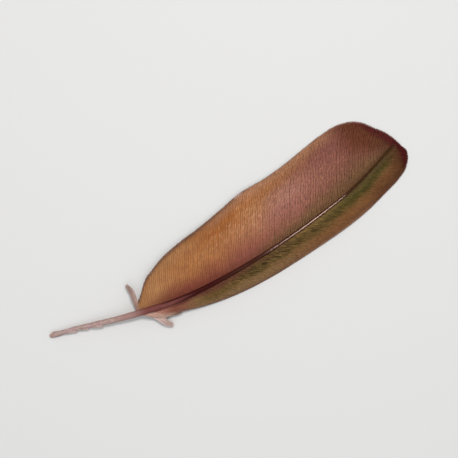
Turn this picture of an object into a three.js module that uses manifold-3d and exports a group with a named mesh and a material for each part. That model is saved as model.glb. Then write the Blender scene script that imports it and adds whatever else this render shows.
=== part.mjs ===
// A turkey's wing covert feather, lying on its underside with the glossy upper side up.
// Millimetres, +Z up. The feather's length runs along X, quill at -X and vane tip at +X,
// and the origin is on the surface that it lies on, under the middle of its bounding box.
//
// Stations are measured in millimetres from the quill's end, and sideways and upwards from
// the line that joins the quill's end to the vane's tip. The group at the end moves them
// to the origin above.

import * as THREE from "three";
import { mergeVertices } from "three/addons/utils/BufferGeometryUtils.js";
import Module from "manifold-3d";

const wasm = await Module();
wasm.setup();

// ---- driving dimensions -------------------------------------------------------------

const LENGTH = 130; // quill end to vane tip
const MIDDLE_Y = 1.4; // halfway between the two edges of the vane at their widest

const VANE_START = 30; // where the first barbs leave the shaft
const SHAFT_END = 126.8; // the rachis dies out just short of the vane's tip

const VANE_ROOT_THICKNESS = 0.85; // at most, and never more than the shaft is deep there
const VANE_EDGE_THICKNESS = 0.45;
const VANE_ARCH = 1.9; // power of the vane's fall from shaft to edge: 1 is flat, more is rounder
const ATTACH_ANGLE = 28; // degrees above the shaft's middle at which the barbs leave it
const BARB_BOW = 0.045; // how far a barb bows, as a share of its length

const LOCKS = 48; // ridges of barbs that lie together, along each vane
const LOCK_RIDGE = 0.22; // how far the crest of a lock stands above its grooves
const LOCK_NOTCH = 0.018; // how far the edge steps in between locks, as a share of a barb

const INNER_STEPS = 8; // faces along a barb
const OUTER_STEPS = 5;
const SHAFT_POINTS = 5; // points over the shaft's back between the two vanes, and as many under it
const QUILL_STEP = 3;
const QUILL_TIP_LENGTH = 0.7; // how far the quill takes to round off at its end
const VANE_FOOT = 0.4; // length of the vane's blunt foot along the shaft
const TUFT_SIDES = 8;
const SCRAP_DEPTH = 0.9;
const UNDERCUT = 20; // depth of the block that trims the feather flat where it rests

// The shaft: [station, sideways, height of its centre, half width, half depth].
const SHAFT = [
  [0.1, -0.66, 0.62, 0.42, 0.42],
  [0.8, -0.66, 0.66, 0.72, 0.7],
  [4, -1.3, 0.86, 0.73, 0.74],
  [8, -2.0, 1.2, 0.75, 0.8],
  [12, -2.95, 1.57, 0.8, 0.86],
  [17, -4.15, 2.02, 0.9, 0.95],
  [22, -5.35, 2.47, 0.96, 1.02],
  [28, -6.55, 2.95, 1.08, 1.1],
  [34, -7.5, 3.45, 1.02, 1.08],
  [40, -8.5, 3.9, 0.92, 1.0],
  [48, -9.05, 4.4, 0.78, 0.9],
  [60, -9.0, 4.85, 0.64, 0.8],
  [72, -8.15, 4.95, 0.54, 0.72],
  [85, -6.6, 4.65, 0.45, 0.64],
  [98, -4.4, 3.85, 0.37, 0.55],
  [107, -2.4, 3.0, 0.32, 0.5],
  [116, 0.65, 1.9, 0.27, 0.44],
  [122, 2.9, 1.15, 0.23, 0.4],
  [SHAFT_END, 4.7, 0.65, 0.18, 0.35],
];

// The barbs that set each vane's outline, by the station where each leaves the shaft:
// [station, station and sideways place of its tip, height of its tip].
const INNER_BARBS = [
  [VANE_START, 30.8, -3.3, 3.1],
  [31.2, 32.9, -1.2, 2.9],
  [33, 35.6, 1.9, 2.6],
  [35.5, 39.6, 4.0, 2.3],
  [38.5, 44.0, 6.0, 2.0],
  [43, 50.0, 7.6, 1.7],
  [50, 58.5, 9.2, 1.4],
  [58, 67.5, 11.3, 1.2],
  [64, 74.5, 13.1, 1.1],
  [72, 84.0, 13.8, 0.9],
  [80, 92.5, 15.1, 0.65],
  [88, 100.5, 16.9, 0.4],
  [95, 107.5, 18.3, 0.25],
  [101, 113.0, 18.7, 0.2],
  [106, 117.2, 17.9, 0.22],
  [111, 120.6, 15.8, 0.26],
  [116, 123.6, 12.6, 0.3],
  [120.5, 126.0, 9.5, 0.34],
  [124.5, 127.7, 6.6, 0.36],
  [SHAFT_END, 128.3, 4.9, 0.38],
];
const OUTER_BARBS = [
  [VANE_START, 31.6, -8.7, 2.7],
  [32.5, 36.3, -11.6, 2.1],
  [36, 42.0, -12.9, 1.5],
  [40, 48.5, -14.3, 0.9],
  [45, 56.5, -15.5, 0.4],
  [51, 65.0, -15.9, 0.2],
  [58, 73.0, -15.7, 0.2],
  [66, 81.5, -14.95, 0.35],
  [75, 90.5, -13.9, 0.45],
  [85, 100.5, -12.45, 0.5],
  [95, 109.5, -10.55, 0.45],
  [104, 117.0, -8.25, 0.4],
  [112, 123.5, -5.6, 0.35],
  [118, 127.4, -3.1, 0.3],
  [122.5, 129.4, -0.3, 0.25],
  [125, 129.95, 1.7, 0.25],
  [SHAFT_END, 129.1, 3.3, 0.3],
];

// Downy tufts at the foot of the vane: [station, sideways, height, radius].
const UPPER_TUFT = [
  [29.5, -5.9, 3.1, 0.45],
  [29.9, -3.9, 3.3, 0.5],
  [30.15, -1.4, 3.2, 0.6],
  [30.15, 0.8, 2.8, 0.6],
  [29.7, 2.7, 2.3, 0.4],
  [29.45, 3.3, 2.1, 0.2],
];
const LOWER_TUFT = [
  [31.4, -7.6, 3.0, 0.5],
  [33.2, -10.0, 2.5, 0.6],
  [34.7, -12.0, 2.0, 0.8],
  [36.0, -13.6, 1.45, 0.92],
  [37.1, -15.0, 1.05, 0.7],
  [37.7, -15.7, 0.85, 0.35],
];
const TUFT_SPUR = [
  [34.4, -11.3, 2.1, 0.6],
  [35.4, -11.3, 2.15, 0.58],
  [36.5, -11.2, 2.2, 0.3],
];

// Scraps of the growth sheath that still cling to the quill's -Y side: [station, length, width].
const SHEATH_SCRAPS = [
  [8.3, 2.4, 0.3],
  [12.5, 2.6, 0.25],
  [16.6, 3.2, 0.4],
];

// ---- curves -------------------------------------------------------------------------

/** A smooth function through [at, value] pairs: cubic pieces with matching slopes. */
function smooth(pairs) {
  const at = pairs.map((p) => p[0]);
  const value = pairs.map((p) => p[1]);
  const last = at.length - 1;
  const rise = (i) => (value[i + 1] - value[i]) / (at[i + 1] - at[i]);
  const slope = at.map((_, i) => {
    if (i === 0) return rise(0);
    if (i === last) return rise(last - 1);
    const before = at[i] - at[i - 1];
    const after = at[i + 1] - at[i];
    return (after * rise(i - 1) + before * rise(i)) / (before + after);
  });
  return (x) => {
    let i = 0;
    while (i < last - 1 && x > at[i + 1]) i++;
    const step = at[i + 1] - at[i];
    const t = THREE.MathUtils.clamp((x - at[i]) / step, 0, 1);
    const ease = t * t * (3 - 2 * t);
    const startPull = t * (1 - t) * (1 - t) * step * slope[i];
    const endPull = t * t * (t - 1) * step * slope[i + 1];
    return value[i] * (1 - ease) + value[i + 1] * ease + startPull + endPull;
  };
}

/** One smooth function for a column of a table, by its first column. */
const column = (table, index) => smooth(table.map((row) => [row[0], row[index]]));

const shaft = {
  y: column(SHAFT, 1),
  z: column(SHAFT, 2),
  halfWidth: column(SHAFT, 3),
  halfDepth: column(SHAFT, 4),
};

/** A point on the shaft's skin, at an angle that runs from +Y over the top. */
function shaftSkin(station, degrees) {
  const angle = THREE.MathUtils.degToRad(degrees);
  const heading = Math.atan2(shaft.y(station + 0.5) - shaft.y(station - 0.5), 1);
  const out = shaft.halfWidth(station) * Math.cos(angle);
  return new THREE.Vector3(
    station - out * Math.sin(heading),
    shaft.y(station) + out * Math.cos(heading),
    shaft.z(station) + shaft.halfDepth(station) * Math.sin(angle),
  );
}

/**
 * The upper surface of one vane: a point at share v of the barb that leaves the shaft at a
 * station. side is 1 for the inner vane, towards +Y, and -1 for the outer one.
 */
function vaneSurface(barbs, side) {
  const tipX = column(barbs, 1);
  const tipY = column(barbs, 2);
  const tipZ = column(barbs, 3);
  const attach = side > 0 ? ATTACH_ANGLE : 180 - ATTACH_ANGLE;
  return (station, v) => {
    const root = shaftSkin(station, attach);
    const reachX = tipX(station) - root.x;
    const reachY = tipY(station) - root.y;
    const fall = root.z - tipZ(station);
    const bow = side * 4 * v * (1 - v) * BARB_BOW;
    return new THREE.Vector3(
      root.x + reachX * v - reachY * bow,
      root.y + reachY * v + reachX * bow,
      root.z - fall * v ** VANE_ARCH,
    );
  };
}

const innerSurface = vaneSurface(INNER_BARBS, 1);
const outerSurface = vaneSurface(OUTER_BARBS, -1);

function vaneThickness(station, v) {
  const root = Math.min(VANE_ROOT_THICKNESS, 0.85 * shaft.halfDepth(station));
  return THREE.MathUtils.lerp(root, VANE_EDGE_THICKNESS, v);
}

// ---- solids -------------------------------------------------------------------------

/** A manifold-3d solid of a closed geometry. */
function solid(geometry) {
  const bare = geometry.clone();
  bare.deleteAttribute("normal");
  bare.deleteAttribute("uv");
  const merged = mergeVertices(bare, 1e-4);
  const index = merged.index.array;
  const faces = [];
  for (let i = 0; i < index.length; i += 3) {
    const [a, b, c] = index.subarray(i, i + 3);
    if (a !== b && b !== c && c !== a) faces.push(a, b, c);
  }
  return new wasm.Manifold(
    new wasm.Mesh({
      numProp: 3,
      vertProperties: merged.attributes.position.array,
      triVerts: new Uint32Array(faces),
    }),
  );
}

/**
 * A closed geometry through rings of equally many points, an even number, which run
 * anticlockwise as seen by someone ahead of the rings and looking back along them.
 */
function loft(rings) {
  const sides = rings[0].length;
  const faces = [];
  const quad = (a, b, c, d) => faces.push(a, b, c, a, c, d);
  for (let r = 0; r < rings.length - 1; r++) {
    for (let s = 0; s < sides; s++) {
      const here = r * sides + s;
      const next = r * sides + ((s + 1) % sides);
      quad(here, next, next + sides, here + sides);
    }
  }
  const end = (rings.length - 1) * sides;
  for (let s = 0; s < sides / 2 - 1; s++) {
    const across = sides - 1 - s;
    quad(s, across, across - 1, s + 1);
    quad(end + s, end + s + 1, end + across - 1, end + across);
  }
  const geometry = new THREE.BufferGeometry().setFromPoints(rings.flat());
  geometry.setIndex(faces);
  return geometry;
}

/** A round tapered rod through rows of [x, y, z, radius]. */
function rod(rows, sides) {
  const centres = rows.map(([x, y, z]) => new THREE.Vector3(x, y, z));
  const rings = rows.map(([, , , radius], i) => {
    const ahead = centres[Math.min(i + 1, rows.length - 1)];
    const behind = centres[Math.max(i - 1, 0)];
    const along = ahead.clone().sub(behind).normalize();
    const across = new THREE.Vector3(0, 0, 1).cross(along).normalize();
    const up = along.clone().cross(across);
    return Array.from({ length: sides }, (_, s) => {
      const angle = (2 * Math.PI * (s + 0.5)) / sides;
      return centres[i]
        .clone()
        .addScaledVector(across, radius * Math.cos(angle))
        .addScaledVector(up, radius * Math.sin(angle));
    });
  });
  return loft(rings);
}

/**
 * The ring of points round the feather along the pair of barbs that leave the shaft at one
 * station: under it from the outer vane's edge to the inner one's, and back over the top.
 * reach is the share of each barb that is there, 0 on the bare quill.
 */
function featherRing(station, reach, ridge) {
  const top = [];
  const bottom = [];
  const addBarb = (surface, step, steps) => {
    const share = step / steps;
    const point = surface(station, share * reach);
    const crest = reach && ridge * Math.sqrt(1 - (2 * share - 1) ** 2);
    const thickness = vaneThickness(station, share * reach);
    bottom.push(point.clone().setZ(point.z - thickness));
    top.push(point.setZ(point.z + crest));
  };
  for (let step = OUTER_STEPS; step >= 0; step--) addBarb(outerSurface, step, OUTER_STEPS);
  for (let i = 1; i <= SHAFT_POINTS; i++) {
    const share = i / (SHAFT_POINTS + 1);
    bottom.push(shaftSkin(station, THREE.MathUtils.lerp(-150, -30, share)));
    top.push(shaftSkin(station, THREE.MathUtils.lerp(180 - ATTACH_ANGLE, ATTACH_ANGLE, share)));
  }
  for (let step = 0; step <= INNER_STEPS; step++) addBarb(innerSurface, step, INNER_STEPS);
  return [...bottom, ...top.reverse()];
}

/** The shaft and both vanes, which grow as one: bare quill first, then lock after lock of barbs. */
function makeFeatherBody() {
  const quillEnd = SHAFT[0][0];
  const quill = [quillEnd, quillEnd + QUILL_TIP_LENGTH];
  for (let x = QUILL_STEP; x < VANE_START - QUILL_STEP / 2; x += QUILL_STEP) quill.push(x);
  quill.push(VANE_START - VANE_FOOT);
  const rings = quill.map((station) => featherRing(station, 0, 0));
  for (let row = 0; row <= 2 * LOCKS; row++) {
    const station = THREE.MathUtils.lerp(VANE_START, SHAFT_END, row / (2 * LOCKS));
    const onCrest = row % 2 === 1;
    rings.push(featherRing(station, onCrest ? 1 : 1 - LOCK_NOTCH, onCrest ? LOCK_RIDGE : 0));
  }
  return solid(loft(rings));
}

/** A flake of sheath: a flattened lump half sunk in the side of the quill. */
function makeScrap([station, length, width]) {
  const geometry = new THREE.SphereGeometry(0.5, 8, 6);
  const root = shaftSkin(station, 180);
  const ahead = shaftSkin(station + 1, 180);
  geometry.scale(length, 2 * width, SCRAP_DEPTH);
  geometry.rotateZ(Math.atan2(ahead.y - root.y, ahead.x - root.x));
  geometry.translate(root.x, root.y, root.z);
  return solid(geometry);
}

/** The block under the surface that the feather rests on. */
function makeGround() {
  const ground = new THREE.BoxGeometry(2 * LENGTH, LENGTH, UNDERCUT);
  ground.translate(LENGTH / 2, 0, -UNDERCUT / 2);
  return solid(ground);
}

function makeFeather() {
  const tufts = [UPPER_TUFT, LOWER_TUFT, TUFT_SPUR].map((rows) => solid(rod(rows, TUFT_SIDES)));
  const scraps = SHEATH_SCRAPS.map(makeScrap);
  let made = makeFeatherBody();
  for (const piece of [...tufts, ...scraps]) made = made.add(piece);
  return made.subtract(makeGround());
}

/** A three.js geometry of a manifold-3d solid. */
function geometryOf(made) {
  const { numProp, vertProperties, triVerts } = made.getMesh();
  const points = [];
  for (let i = 0; i < vertProperties.length; i += numProp) {
    points.push(new THREE.Vector3(...vertProperties.subarray(i, i + 3)));
  }
  const geometry = new THREE.BufferGeometry().setFromPoints(points);
  geometry.setIndex(Array.from(triVerts));
  geometry.computeVertexNormals();
  return geometry;
}

// ---- the part -----------------------------------------------------------------------

const keratin = new THREE.MeshStandardMaterial({
  name: "vane",
  color: new THREE.Color(0.42, 0.21, 0.1),
  roughness: 0.42,
  metalness: 0.35,
});

const feather = new THREE.Mesh(geometryOf(makeFeather()), keratin);
feather.name = "feather";

const part = new THREE.Group();
part.add(feather);
part.position.set(-LENGTH / 2, -MIDDLE_Y, 0);

export default part;
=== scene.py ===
"""The looks of a turkey's wing covert feather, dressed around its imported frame.

Lengths of the feather are millimetres, and those of the stage are metres. As in the part's
own source, a station is counted from the quill's end along the line to the vane's tip, and
sideways and heights are counted from that line and from the surface that the feather lies
on. to_frame() moves points from there to the frame, in metres.
"""

import math

import bpy
import numpy as np
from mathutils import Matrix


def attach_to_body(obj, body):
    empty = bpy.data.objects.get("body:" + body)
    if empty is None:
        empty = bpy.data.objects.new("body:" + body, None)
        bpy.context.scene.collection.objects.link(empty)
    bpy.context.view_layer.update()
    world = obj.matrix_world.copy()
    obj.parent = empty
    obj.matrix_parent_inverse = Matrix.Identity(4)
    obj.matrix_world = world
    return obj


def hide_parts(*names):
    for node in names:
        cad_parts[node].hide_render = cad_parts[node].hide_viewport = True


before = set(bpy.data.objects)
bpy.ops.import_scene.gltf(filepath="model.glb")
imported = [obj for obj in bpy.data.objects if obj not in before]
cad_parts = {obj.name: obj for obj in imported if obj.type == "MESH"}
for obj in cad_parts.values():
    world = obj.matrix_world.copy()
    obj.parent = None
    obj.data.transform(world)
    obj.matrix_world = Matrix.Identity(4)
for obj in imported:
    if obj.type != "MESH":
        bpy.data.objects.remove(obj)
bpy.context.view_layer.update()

MM = 0.001
SEED = 7

# ---- driving dimensions, after the part's source ---------------------------------------

LENGTH = 130.0
MIDDLE_Y = 1.4  # sideways place of the frame's origin
VANE_START = 30.0  # station where the first barbs leave the shaft
SHAFT_END = 126.8
VANE_ARCH = 1.9  # power of the vane's fall from shaft to edge: 1 is flat, more is rounder
ATTACH_ANGLE = 28.0  # degrees above the shaft's middle at which the barbs leave it
BARB_BOW = 0.045  # how far a barb bows, as a share of its length

# The shaft: station, sideways, height of its centre, half width, half depth.
SHAFT = [
    (0.1, -0.66, 0.62, 0.42, 0.42),
    (0.8, -0.66, 0.66, 0.72, 0.7),
    (4, -1.3, 0.86, 0.73, 0.74),
    (8, -2.0, 1.2, 0.75, 0.8),
    (12, -2.95, 1.57, 0.8, 0.86),
    (17, -4.15, 2.02, 0.9, 0.95),
    (22, -5.35, 2.47, 0.96, 1.02),
    (28, -6.55, 2.95, 1.08, 1.1),
    (34, -7.5, 3.45, 1.02, 1.08),
    (40, -8.45, 3.9, 0.92, 1.0),
    (48, -8.95, 4.4, 0.78, 0.9),
    (60, -8.83, 4.85, 0.66, 0.8),
    (72, -8.0, 4.95, 0.56, 0.72),
    (85, -6.43, 4.65, 0.45, 0.64),
    (98, -4.22, 3.85, 0.37, 0.55),
    (107, -2.27, 3.0, 0.31, 0.5),
    (116, 0.65, 1.9, 0.24, 0.44),
    (122, 2.86, 1.15, 0.2, 0.4),
    (SHAFT_END, 4.7, 0.65, 0.18, 0.35),
]

# The barbs that set each vane's outline, by the station where each leaves the shaft:
# station, station and sideways place of its tip, height of its tip.
INNER_BARBS = [
    (VANE_START, 30.9, -2.9, 3.1),
    (31.2, 32.9, -1.0, 2.9),
    (33, 35.5, 1.8, 2.6),
    (35.5, 39.5, 4.05, 2.3),
    (38.5, 44.0, 6.0, 2.0),
    (43, 50.0, 7.6, 1.7),
    (50, 58.5, 9.2, 1.4),
    (58, 67.5, 11.3, 1.2),
    (64, 74.5, 13.1, 1.1),
    (72, 84.0, 13.8, 0.9),
    (80, 92.5, 15.1, 0.65),
    (88, 100.5, 16.9, 0.4),
    (95, 107.5, 18.3, 0.25),
    (101, 113.0, 18.7, 0.2),
    (106, 117.2, 17.9, 0.22),
    (111, 120.7, 15.9, 0.26),
    (116, 123.8, 12.5, 0.3),
    (120.5, 126.45, 9.5, 0.34),
    (124.5, 128.05, 6.6, 0.36),
    (SHAFT_END, 128.7, 4.9, 0.38),
]
OUTER_BARBS = [
    (VANE_START, 31.6, -8.8, 2.7),
    (31.5, 34.2, -11.1, 2.4),
    (33, 36.6, -12.1, 2.1),
    (36, 41.6, -12.75, 1.5),
    (40, 48.5, -14.3, 0.9),
    (45, 56.5, -15.5, 0.4),
    (51, 65.0, -15.9, 0.2),
    (58, 73.0, -15.7, 0.2),
    (66, 81.5, -14.95, 0.35),
    (75, 90.5, -13.9, 0.45),
    (85, 100.5, -12.45, 0.5),
    (95, 109.5, -10.55, 0.45),
    (104, 117.0, -8.1, 0.4),
    (112, 123.6, -5.7, 0.35),
    (118, 127.6, -3.3, 0.3),
    (122.5, 129.6, -0.4, 0.25),
    (125, 129.95, 1.7, 0.25),
    (SHAFT_END, 129.1, 3.3, 0.3),
]

# Short barbs that close the vane round the rachis's end.
END_BARBS = [
    (126.2, 128.5, 5.2, 0.36),
    (126.4, 128.75, 4.6, 0.36),
    (126.6, 129.05, 3.6, 0.34),
    (SHAFT_END, 129.35, 1.9, 0.3),
]

# Downy tufts at the foot of the vane: station, sideways, height, radius.
UPPER_TUFT = [
    (29.6, -5.9, 3.1, 0.52),
    (29.9, -3.9, 3.3, 0.58),
    (30.1, -1.4, 3.2, 0.66),
    (30.2, 0.6, 2.8, 0.7),
    (29.8, 2.3, 2.3, 0.58),
    (29.5, 3.4, 2.1, 0.52),
]
LOWER_TUFT = [
    (31.2, -8.0, 3.0, 0.2),
    (32.8, -9.7, 2.6, 0.28),
    (34.1, -11.2, 2.2, 0.54),
    (35.15, -12.7, 1.8, 0.83),
    (36.0, -13.9, 1.45, 0.83),
    (36.9, -14.9, 1.1, 0.62),
    (37.4, -15.5, 0.85, 0.44),
]
TUFT_SPUR = [
    (33.2, -9.8, 2.6, 0.3),
    (34.3, -10.8, 2.4, 0.45),
    (35.4, -11.5, 2.2, 0.42),
    (36.7, -12.1, 2.0, 0.15),
]

# Down that clings to the foot of the outer vane, along its edge.
FOOT_DOWN = [
    (36.8, -11.4, 2.15, 0.12),
    (38.2, -11.9, 2.0, 0.24),
    (39.6, -12.4, 1.85, 0.26),
    (40.8, -12.75, 1.7, 0.16),
    (42.0, -13.05, 1.5, 0.06),
]

# Scraps of growth sheath: station, length, width, degrees round the quill, where 180 is its
# -Y side.
SHEATH_SCRAPS = [
    (7.3, 3.4, 0.58, 184),
    (11.6, 2.6, 0.4, 178),
    (15.7, 3.4, 0.7, 186),
]

# ---- curves ----------------------------------------------------------------------------


def smooth(at, value):
    """A smooth function through points: cubic pieces with matching slopes."""
    at = np.asarray(at, float)
    value = np.asarray(value, float)
    step = np.diff(at)
    rise = np.diff(value) / step
    slope = np.empty_like(value)
    slope[0] = rise[0]
    slope[-1] = rise[-1]
    slope[1:-1] = (step[1:] * rise[:-1] + step[:-1] * rise[1:]) / (step[:-1] + step[1:])

    def evaluate(x):
        i = np.clip(np.searchsorted(at, x) - 1, 0, len(step) - 1)
        t = np.clip((x - at[i]) / step[i], 0, 1)
        ease = t * t * (3 - 2 * t)
        start_pull = t * (1 - t) ** 2 * step[i] * slope[i]
        end_pull = t * t * (t - 1) * step[i] * slope[i + 1]
        return value[i] * (1 - ease) + value[i + 1] * ease + start_pull + end_pull

    return evaluate


def columns(table):
    """One smooth function for each later column of a table, by its first column."""
    first, *others = zip(*table)
    return [smooth(first, other) for other in others]


def ramp(x, low, high):
    """0 below low and 1 above high, smooth between; low above high turns it round."""
    t = np.clip((x - low) / (high - low), 0, 1)
    return t * t * (3 - 2 * t)


def unit(vectors):
    return vectors / np.linalg.norm(vectors, axis=-1, keepdims=True)


def vector_of(x, y, z):
    return np.stack(np.broadcast_arrays(x, y, z), axis=-1)


shaft_y, shaft_z, shaft_half_width, shaft_half_depth = columns(SHAFT)


def beside_shaft(station, out):
    """Stations and sideways places of points that are this far out from the shaft's middle."""
    heading = np.arctan(shaft_y(station + 0.5) - shaft_y(station - 0.5))
    return station - out * np.sin(heading), shaft_y(station) + out * np.cos(heading)


def shaft_skin(station, degrees, swell=1.0):
    """Points on the shaft's skin, at angles that run from +Y over the top."""
    angle = np.radians(degrees)
    x, y = beside_shaft(station, shaft_half_width(station) * swell * np.cos(angle))
    z = shaft_z(station) + shaft_half_depth(station) * swell * np.sin(angle)
    return vector_of(x, y, z)


def vane_surface(barbs, side):
    """A function from station and share of a barb to points on a vane's upper surface.

    side is 1 for the inner vane, towards +Y, and -1 for the outer one.
    """
    tip_x, tip_y, tip_z = columns(barbs)
    attach = ATTACH_ANGLE if side > 0 else 180 - ATTACH_ANGLE

    def evaluate(station, share):
        root = shaft_skin(station, attach)
        reach_x = tip_x(station) - root[..., 0]
        reach_y = tip_y(station) - root[..., 1]
        fall = root[..., 2] - tip_z(station)
        bow = side * 4 * share * (1 - share) * BARB_BOW
        x = root[..., 0] + reach_x * share - reach_y * bow
        y = root[..., 1] + reach_y * share + reach_x * bow
        z = root[..., 2] - fall * np.maximum(share, 0) ** VANE_ARCH
        return vector_of(x, y, z)

    return evaluate


# ---- meshes ----------------------------------------------------------------------------


def to_frame(points):
    return (points - np.array([LENGTH / 2, MIDDLE_Y, 0.0])) * MM


def strip_faces(strips, rings, points):
    """Faces of closed strips, each a row of rings that have equally many points.

    A ring runs anticlockwise as seen from ahead, looking back along the strip.
    """
    faces = []
    for strip in range(strips):
        start = strip * rings * points
        for ring in range(rings - 1):
            here = start + ring * points
            for point in range(points):
                after = (point + 1) % points
                ahead = here + points
                faces.append((here + point, here + after, ahead + after, ahead + point))
        end = start + (rings - 1) * points
        faces.append(tuple(range(start + points - 1, start - 1, -1)))
        faces.append(tuple(range(end, end + points)))
    return faces


def make_piece(name, rings, slot, material, **attributes):
    """One object from closed strips, shaped [strip, ring, point, xyz], with point attributes."""
    strips, count, points, _ = rings.shape
    mesh = bpy.data.meshes.new(name)
    mesh.from_pydata(to_frame(rings).reshape(-1, 3).tolist(), [], strip_faces(strips, count, points))
    for key, values in attributes.items():
        attribute = mesh.attributes.new(key, "FLOAT_VECTOR", "POINT")
        values = np.ascontiguousarray(np.broadcast_to(values, rings.shape), np.float32)
        attribute.data.foreach_set("vector", values.ravel())
    mesh.materials.append(material)
    mesh.shade_smooth()
    mesh.update()
    piece = bpy.data.objects.new(name, mesh)
    bpy.context.scene.collection.objects.link(piece)
    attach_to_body(piece, "root")
    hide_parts("feather")
    return piece


# ---- the shaft -------------------------------------------------------------------------

SHAFT_STEP = 0.3
SHAFT_POINTS = 40
PLAIN_START = 0.4  # station of the first ring after the quill's end
RACHIS_FORM = (36, 60)  # stations between which the round quill turns into the rachis
FLATNESS = 0.62  # how much squarer than round the rachis is
RIDGE = 0.454  # where the ridge between its two upper facets is, as a share of the half width
FACET_TILT = 0.176  # slope of the rachis's outer facet where it is glossy, up and outwards
DULL_TILT = -0.45  # slope of that facet elsewhere, down and outwards
INNER_FALL = 0.5  # slope of the inner facet, down towards the inner vane
GLOSSY = (71.0, 75.0, 105.0, 108.0)  # the glossy stretch: where it starts, is full, fades, ends
BELLY_GROOVE = 0.3  # depth of the groove under the rachis, as a share of the shaft
GROOVE_WIDTH = 0.4  # half width of that groove, as a share of the half width
GROOVE_FADE = 8  # length over which that groove deepens, from the start of the vanes
QUILL_LUMPS = 0.035  # how uneven the bare quill is, as a share of the shaft
LUMPS_START = (0.1, 1.2)  # stations between which that unevenness starts
LUMPS_FADE = (16, 30)  # stations between which it falls to its share on the rachis
RACHIS_LUMPS = 0.15  # that share
SHAFT_LOWEST = 0.01  # gap between the shaft and the surface that the feather lies on

# The waves of that unevenness: radians for each mm along the shaft, waves round it, phase,
# height.
LUMP_WAVES = [
    (1.7, 2, 0.0, 1.0),
    (3.1, -1, 1.0, 1.0),
    (5.3, 3, 2.0, 0.8),
]

# The quill's end, with the pit where it fed from the skin, and the rachis's end: station,
# share of the full width.
QUILL_END = [
    (0.85, 0.02),
    (0.78, 0.2),
    (0.42, 0.32),
    (0.22, 0.46),
    (0.11, 0.64),
    (0.12, 0.85),
    (0.22, 1.0),
]
RACHIS_END = [(SHAFT_END + 0.25, 0.7), (SHAFT_END + 0.5, 0.1)]


def quill_lumps(station, angle):
    """The unevenness of dried keratin, strongest on the bare quill."""
    lumps = sum(
        height * np.sin(along * station + around * angle + phase)
        for along, around, phase, height in LUMP_WAVES
    )
    fade = 1 - (1 - RACHIS_LUMPS) * ramp(station, *LUMPS_FADE)
    return QUILL_LUMPS * lumps * fade * ramp(station, *LUMPS_START)


def make_shaft(material):
    """The shaft, as one strip of rings round it.

    The material reads place: station, then sideways and height round the ring, -1 to 1.
    """
    plain = np.arange(PLAIN_START, SHAFT_END, SHAFT_STEP)
    rows = [*QUILL_END, *((station, 1.0) for station in plain), *RACHIS_END]
    station = np.array([row[0] for row in rows])[:, None]
    share = np.array([row[1] for row in rows])[:, None]
    angle = np.radians(270 - 360 * np.arange(SHAFT_POINTS)[None, :] / SHAFT_POINTS)
    rachis = ramp(station, *RACHIS_FORM)
    power = 1 - FLATNESS * rachis
    across = np.cos(angle)
    height = np.sign(np.sin(angle)) * np.maximum(1 - np.abs(across) ** (2 / power), 0) ** (power / 2)
    belly = np.exp(-((across / GROOVE_WIDTH) ** 2)) * (height < 0)
    belly = belly * ramp(station, VANE_START, VANE_START + GROOVE_FADE)
    swell = 1 + quill_lumps(station, angle) - BELLY_GROOVE * belly
    out = shaft_half_width(station) * across * swell * share
    x, y = beside_shaft(station, out)
    z = shaft_z(station) + shaft_half_depth(station) * height * swell * share
    glossy_from, glossy_full, fade_from, glossy_to = GLOSSY
    gloss = ramp(station, glossy_from, glossy_full) * (1 - ramp(station, fade_from, glossy_to))
    outer_tilt = DULL_TILT + (FACET_TILT - DULL_TILT) * gloss
    from_ridge = out - RIDGE * shaft_half_width(station)
    z = z - rachis * outer_tilt * np.minimum(from_ridge, 0)
    z = z - rachis * INNER_FALL * np.maximum(from_ridge, 0)
    rings = vector_of(x, y, np.maximum(z, SHAFT_LOWEST))
    place = vector_of(station, across, height)
    return make_piece("shaft", rings[None], "shaft", material, place=place[None])


# ---- the vanes -------------------------------------------------------------------------

BARBS = 150  # on each side of the shaft, about 0.65 mm apart
STRAY = 0.12  # how far a barb's root strays along the shaft, as a share of the gap
OWN_TINT = 0.6  # share of a barb's tint that is its own: the rest is its lock's
RAGGED = 0.08  # how much shorter than the outline a barb may be, and again its whole lock
ROOT_REACH = 0.02  # how far a barb reaches back into the shaft, as a share of its length
TIP_RINGS = (1.4, 0.9, 0.5, 0.25, 0.1, 0.0)  # places of a barb's last rings, from its tip
RING_GAP = 0.02  # how far before those the other rings end, as a share of its length
TIP_CURL = 0.45  # how far a barb's tip turns towards the feather's tip
CURL_REACH = 1.8  # how far from its tip it starts to turn
CURL_FADE = (120, 108)  # stations where that turn has faded and where it starts to
EDGE_TAPER = 0.5  # how far from its tip a barb starts to narrow
TIP_WIDTH = 0.15  # width of its very tip, as a share
ROOT_SINK = 0.3  # how far below the shaft's edge a barb's root sits
SINK_REACH = 0.7  # how far from its root a barb has mostly risen from there
UNEVEN = 0.09  # height of the slow waves in a whole vane
WAVE_LENGTHS = (31.0, 17.0, 9.0, 5.0)  # lengths of those waves
LOWEST = 0.02  # gap between barbs or down and the surface that the feather lies on

# How barbs stray from an even vane, as shares of half the gap between them.
BARB_SWAY = 0.06
BARB_LIFT = 0.04
LOCK_LIFT = 0.03
LOCK_PULL = 0.035  # of its tip to the lock's middle, for each gap that a barb is off it

# A barb's section: across it, as a share of half the gap between barbs, height as the same
# share, and whether the point is on the underside. Its thin ridge stands between two sheets
# of barbules, which reach a little over the next barbs' sheets.
BARB_SECTION = [
    (-0.2, -0.35, 1),
    (0.0, -0.9, 1),
    (0.2, -0.35, 1),
    (1.3, -0.08, 0),
    (1.15, -0.055, 0),
    (0.7, -0.02, 0),
    (0.3, 0.0, 0),
    (0.0, 0.045, 0),
    (-0.3, 0.0, 0),
    (-0.7, -0.02, 0),
    (-1.15, -0.055, 0),
    (-1.3, -0.08, 0),
]


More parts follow.
